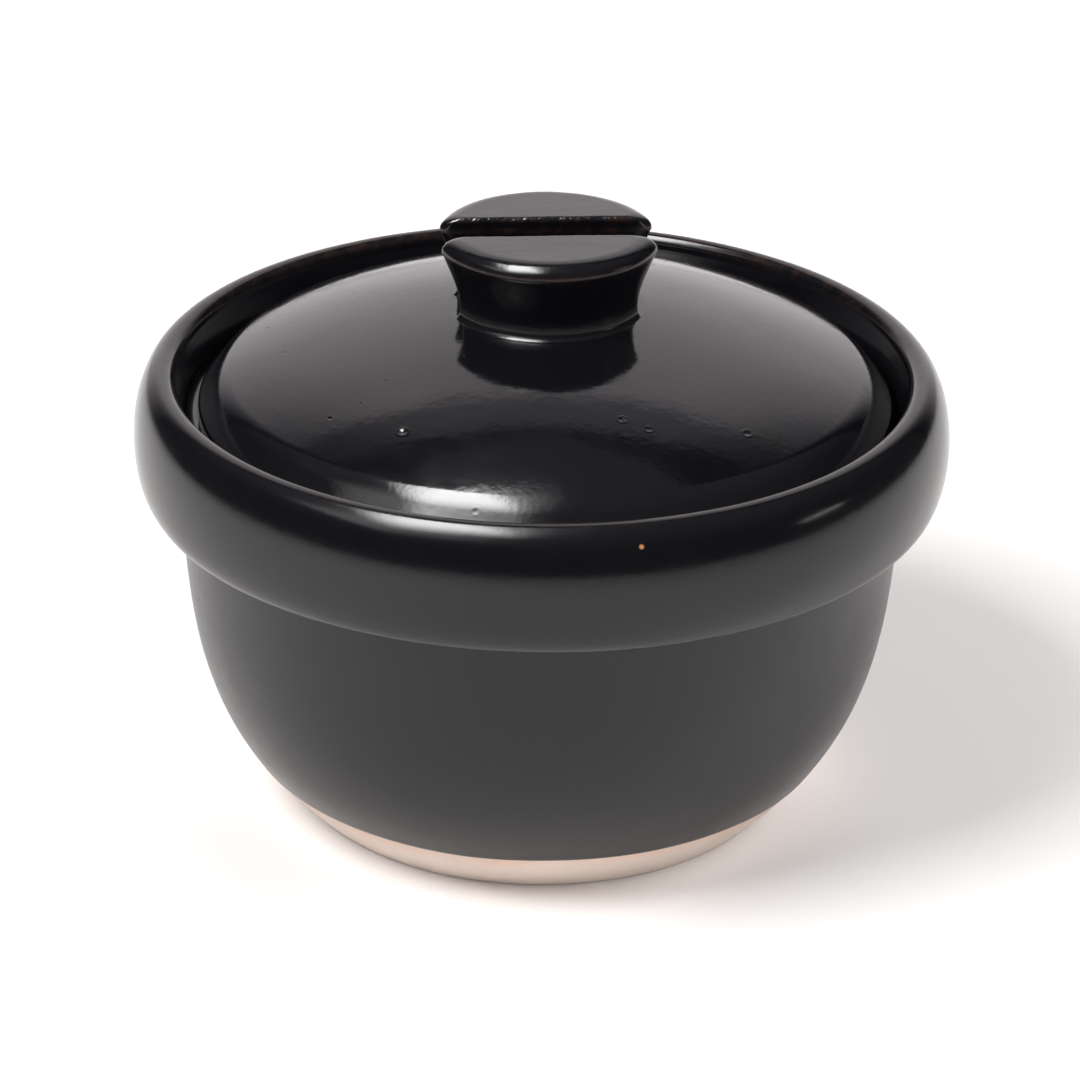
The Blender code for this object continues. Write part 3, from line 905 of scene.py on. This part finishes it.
def build_backdrop():
    """A curved pale backdrop with a straight top: dimmer above half its rise, fading at both sides."""
    reach = 1.7
    middle_rise = math.radians(52.5)
    upper_rise = math.radians(61)
    graph = Graph("backdrop_white")
    parts = graph.add("ShaderNodeSeparateXYZ", Vector=graph.place)
    bearing = graph.math("ARCTAN2", parts.outputs["X"], parts.outputs["Y"])
    height = graph.math("DIVIDE", parts.outputs["Z"], graph.math("COSINE", bearing, 0.0))
    middle = RIM_HEIGHT + reach * math.tan(middle_rise)
    upper = RIM_HEIGHT + reach * math.tan(upper_rise)
    lower_part = graph.math("MULTIPLY", ramp(graph, height, middle + 0.17, middle - 0.17), 0.62)
    upper_part = graph.math("MULTIPLY", ramp(graph, height, upper + 0.22, upper - 0.25), 0.38)
    left = ramp(graph, bearing, math.radians(-52), math.radians(-19))
    right = ramp(graph, bearing, math.radians(48), math.radians(20))
    sides = graph.math("MULTIPLY", left, right)
    strength = graph.math("MULTIPLY", sides, graph.math("ADD", lower_part, upper_part))
    material = glow(graph, graph.math("MULTIPLY", strength, BACKDROP_STRENGTH), BACKDROP_TINT)
    low, high = [], []
    for degrees in range(-52, 53, 4):
        angle = math.radians(degrees)
        low.append((reach * math.sin(angle), reach * math.cos(angle), 0.0))
        high.append((reach * math.sin(angle), reach * math.cos(angle), upper + 0.3))
    count = len(low)
    faces = [(i, i + 1, count + i + 1, count + i) for i in range(count - 1)]
    studio_card("backdrop_card", low + high, faces, material)


def build_softbox():
    """The overhead softbox, left of the pot: one straight end, a slanting side, fading to the front."""
    rise = 1.0
    seen_from = (-0.03, -0.08)
    graph = Graph("softbox_white")
    offset = graph.add("ShaderNodeMapping", Vector=graph.place)
    offset.inputs["Location"].default_value = (-seen_from[0], -seen_from[1], 0.0)
    parts = graph.add("ShaderNodeSeparateXYZ", Vector=offset.outputs["Vector"])
    right = parts.outputs["X"]
    away = parts.outputs["Y"]
    slant = graph.math("SUBTRACT", graph.math("MULTIPLY", right, 0.903), graph.math("MULTIPLY", away, 0.43))
    edge = graph.math("MULTIPLY", ramp(graph, right, -0.03, -0.16), 0.86)
    halo = graph.math("MULTIPLY", ramp(graph, right, 0.10, -0.06), 0.12)
    body = graph.math("MULTIPLY", graph.math("ADD", edge, halo), ramp(graph, slant, -0.54, -0.30))
    body = graph.math("MULTIPLY", body, ramp(graph, away, 0.33, 0.25))
    body = graph.math("MULTIPLY", body, ramp(graph, away, -0.9, -0.06))
    spill = graph.math("MULTIPLY", ramp(graph, right, -0.05, -0.6), ramp(graph, away, -1.4, -0.7))
    spill = graph.math("MULTIPLY", spill, ramp(graph, away, 0.1, -0.5))
    bright = graph.math("MULTIPLY", body, SOFTBOX_STRENGTH)
    strength = graph.math("ADD", bright, graph.math("MULTIPLY", spill, SPILL_STRENGTH))
    material = glow(graph, graph.math("ADD", strength, CEILING_GLOW))
    height = RIM_HEIGHT + rise
    corners = [(-1.3, -1.5, height), (0.1, -1.5, height), (0.1, 0.35, height), (-1.3, 0.35, height)]
    studio_card("softbox_card", corners, [(0, 1, 2, 3)], material)


def build_floor():
    """A wide pale table top whose colour is painted darker far from the pot: painted shade for the light
    falling off with distance.
    """
    mesh = bpy.data.meshes.new("studio_floor")
    edit = bmesh.new()
    bmesh.ops.create_circle(edit, cap_ends=True, segments=96, radius=1.5)
    edit.to_mesh(mesh)
    edit.free()
    graph = Graph("floor_white")
    from_middle = graph.add("ShaderNodeVectorMath")
    from_middle.operation = "DISTANCE"
    graph.tree.links.new(graph.place, from_middle.inputs[0])
    from_middle.inputs[1].default_value = (0.0, 0.2, 0.0)
    # Painted shade: the floor's colour darkens away from the pot in place of the light's falloff
    painted_falloff_shade = ramp(graph, from_middle.outputs["Value"], 1.15, 0.5)
    colour = graph.blend(painted_falloff_shade, FLOOR_FAR_PAINTED_SHADE, FLOOR_NEAR)
    material = graph.finish(Base_Color=colour, Roughness=1.0, Specular_IOR_Level=0.0)
    mesh.materials.append(material)
    floor = new_object("studio_floor", mesh)
    floor.location = (0, 0, -0.05 * MM)


def build_world():
    """A white surround for the camera; the glaze sees a dark room with a faintly lit ceiling."""
    world = bpy.data.worlds.new("studio")
    bpy.context.scene.world = world
    world.use_nodes = True
    tree = world.node_tree
    background = tree.nodes["Background"]
    path = tree.nodes.new("ShaderNodeLightPath")
    place = tree.nodes.new("ShaderNodeTexCoord")
    parts = tree.nodes.new("ShaderNodeSeparateXYZ")
    tree.links.new(place.outputs["Generated"], parts.inputs["Vector"])
    room = tree.nodes.new("ShaderNodeMapRange")
    room.inputs["From Min"].default_value = 0.35
    room.inputs["From Max"].default_value = 0.85
    room.inputs["To Min"].default_value = HORIZON_GLOW
    room.inputs["To Max"].default_value = CEILING_GLOW
    tree.links.new(parts.outputs["Z"], room.inputs["Value"])
    pick = tree.nodes.new("ShaderNodeMapRange")
    tree.links.new(room.outputs["Result"], pick.inputs["To Min"])
    pick.inputs["To Max"].default_value = 1.1
    tree.links.new(path.outputs["Is Camera Ray"], pick.inputs["Value"])
    background.inputs["Color"].default_value = (1.0, 1.0, 1.0, 1.0)
    tree.links.new(pick.outputs["Result"], background.inputs["Strength"])


def direction(rise_degrees, bearing_degrees, distance):
    """A place in the studio by its rise, its bearing from straight away (right positive) and distance."""
    rise = math.radians(rise_degrees)
    bearing = math.radians(bearing_degrees)
    level = distance * math.cos(rise)
    return (level * math.sin(bearing), level * math.cos(bearing), distance * math.sin(rise))


def build_lights():
    """The key that casts the shadow, three fills for the table, and a small card for the rim."""
    centre = (0.0, 0.0, 0.0)
    rim = (0.0, 0.0, RIM_HEIGHT)
    area_light("key", direction(54, -122, 1.6), (0.72, 0.72), 17.0, centre, glossy=False)
    area_light("right_fill", direction(42, 100, 2.0), (1.8, 0.9), 4.6, centre, glossy=False)
    area_light("front_fill", direction(20, 170, 2.0), (1.2, 0.6), 3.4, centre, glossy=False)
    area_light("rear_fill", direction(18, 8, 2.0), (1.4, 0.8), 8.0, centre, glossy=False)
    area_light("right_card", (1.53, -0.28, 0.345), (0.36, 0.05), 5.0, rim, diffuse=False)


def build_studio():
    """Floor, backdrop, lights, surround and camera."""
    scene = bpy.context.scene
    scene.view_settings.view_transform = "Standard"
    scene.view_settings.look = "None"
    build_floor()
    build_backdrop()
    build_softbox()
    build_world()
    build_lights()
    build_camera()


# ---------------------------------------------------------------- assembly

def build_object():
    """Every visible piece, each standing for its CAD node and riding on its body."""
    clay = bare_clay("bare_clay")
    fleck_bearing = math.radians(-80.3)
    fleck_radius = 0.974 * COLLAR_RADIUS
    fleck = (
        fleck_radius * math.cos(fleck_bearing),
        fleck_radius * math.sin(fleck_bearing),
        1.075 * COLLAR_RADIUS,
    )
    body_glaze = black_glaze("body_glaze", 0.0040, 0.15, 0.30, 0.00002, 1.47, fleck)
    lid_glaze = black_glaze("lid_glaze", 0.0042, 0.10, 0.10, 0.00003, 1.52)
    knob_glaze = black_glaze("knob_glaze", 0.0040, 0.12, 0.32, 0.00004, 1.52)
    pieces = (
        (build_pot(body_glaze, clay), "pot_body", "pot", "body_glaze"),
        (build_lid(lid_glaze, clay), "lid_dome", "lid", "lid_glaze"),
        (build_knob_half("front_knob", -1, knob_glaze, 31), "knob_front_half", "lid", "knob_front_glaze"),
        (build_knob_half("rear_knob", 1, knob_glaze, 47), "knob_rear_half", "lid", "knob_rear_glaze"),
    )
    for piece, node, body, slot in pieces:
        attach(piece, body)
        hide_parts(node)


build_object()
build_studio()
